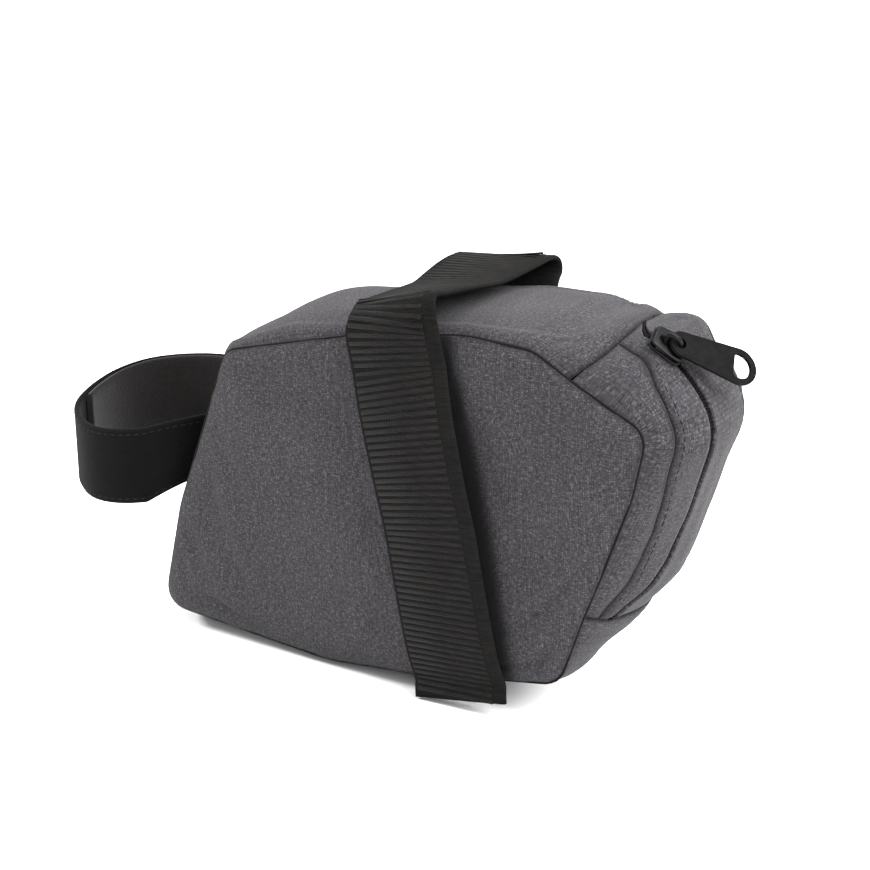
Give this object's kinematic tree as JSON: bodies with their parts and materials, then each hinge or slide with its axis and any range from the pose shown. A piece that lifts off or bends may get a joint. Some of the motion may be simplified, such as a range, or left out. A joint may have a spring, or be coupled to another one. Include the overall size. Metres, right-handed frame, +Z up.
{
  "type": "bicycle saddle bag",
  "caption": "Wedge-shaped cloth bag that hangs under a bicycle saddle by a webbing strap and a seat-post loop, with an arched zip at its rear.",
  "frame": {"origin": "on the flat underside that the bag stands on, on its plane of symmetry, below the saddle strap", "axes": "+X to the rear of the bicycle, +Y to the side away from the picture's camera, +Z up; the near side is at -Y"},
  "size_m": [0.2757, 0.0928, 0.1548],
  "materials": {
    "woven_cloth": "grey melange plain weave, matte",
    "seam_binding": "dark turned seam, matte",
    "zip_tape": "black knitted zip tape, matte",
    "ribbed_webbing": "cross-ribbed webbing, matte",
    "hook_and_loop": "black hook-and-loop tape, matte",
    "painted_zinc": "black painted die casting, satin",
    "moulded_rubber": "moulded soft black tab, satin"
  },
  "bodies": {
    "bag": {"side_near": "woven_cloth", "side_far": "woven_cloth", "top_panel": "woven_cloth", "front_panel": "woven_cloth", "bottom_panel": "woven_cloth", "gusset_near": "woven_cloth", "gusset_far": "woven_cloth", "zip_gusset_near": "woven_cloth", "zip_gusset_far": "woven_cloth", "rear_door": "woven_cloth", "seam_near": "seam_binding", "seam_far": "seam_binding", "zip_tape_near": "zip_tape", "zip_tape_far": "zip_tape", "saddle_strap": "ribbed_webbing", "post_strap_hook": "hook_and_loop", "post_strap_loop": "hook_and_loop", "zip_slider": "painted_zinc"},
    "pull": {"zip_pull": "moulded_rubber"}
  },
  "joints": [
    {"name": "pull_swing", "type": "hinge", "parent": "bag", "child": "pull", "pos_m": [0.09894, -0.01791, 0.14423], "axis": [0.2361, -0.6971, -0.677], "range_deg": [0, 150]}
  ]
}
